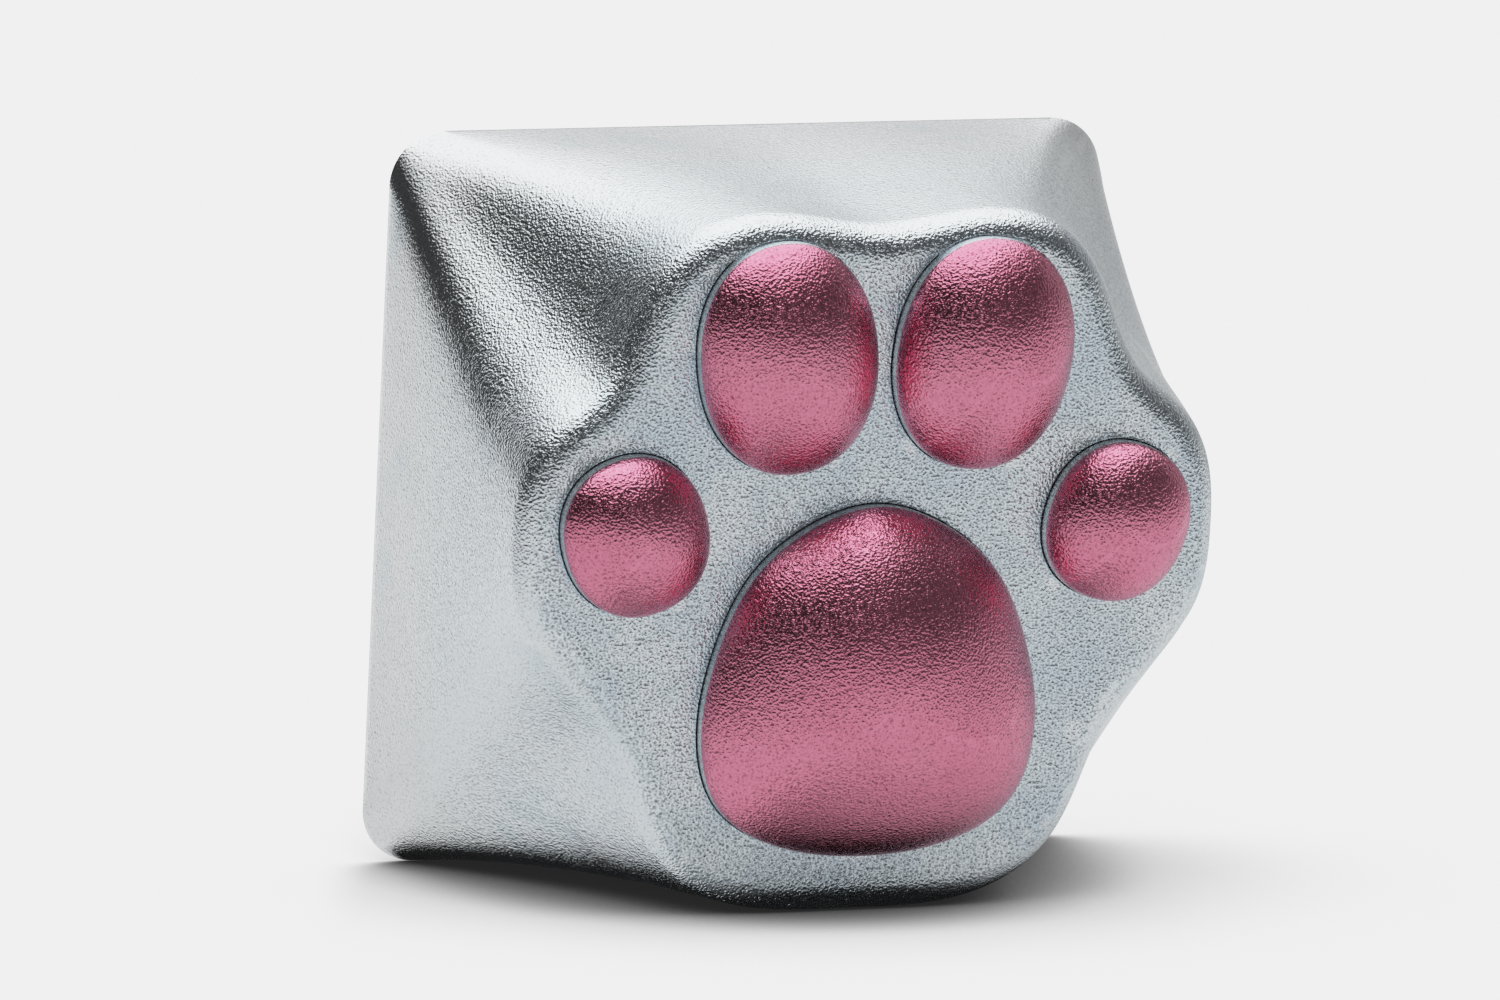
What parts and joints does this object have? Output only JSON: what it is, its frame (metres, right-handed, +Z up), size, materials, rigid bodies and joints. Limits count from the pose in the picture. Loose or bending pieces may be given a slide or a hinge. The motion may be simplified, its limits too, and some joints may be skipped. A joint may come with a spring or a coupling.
{
  "type": "keyboard keycap",
  "caption": "Cat's-paw keycap: a hollow cast metal shell with domed pink metal pads set in its face, and a stem insert whose cross socket presses onto a key switch.",
  "frame": {"origin": "centre of the open rim, in the plane of the rim, on the axis of the stem socket", "axes": "+Z up the key's axis from the rim to the paw face; +Y towards the toes, away from the typist; +X to the typist's right"},
  "size_m": [0.0182, 0.0182, 0.0131],
  "materials": {
    "shell_metal": "bead-blasted satin with a fine orange-peel grain, edges slightly brighter",
    "pad_metal": "rose-pink anodised dome with the same grain; the straight side is bare metal",
    "stem_plastic": "moulded, fine matt",
    "adhesive": "cured clear amber film"
  },
  "bodies": {
    "root": {"paw_shell": "shell_metal", "palm_pad": "pad_metal", "toe_pad_outer_left": "pad_metal", "toe_pad_inner_left": "pad_metal", "toe_pad_inner_right": "pad_metal", "toe_pad_outer_right": "pad_metal", "stem_insert": "stem_plastic", "palm_pad_adhesive": "adhesive", "toe_pad_outer_left_adhesive": "adhesive", "toe_pad_inner_left_adhesive": "adhesive", "toe_pad_inner_right_adhesive": "adhesive", "toe_pad_outer_right_adhesive": "adhesive", "stem_insert_adhesive": "adhesive"}
  },
  "joints": []
}
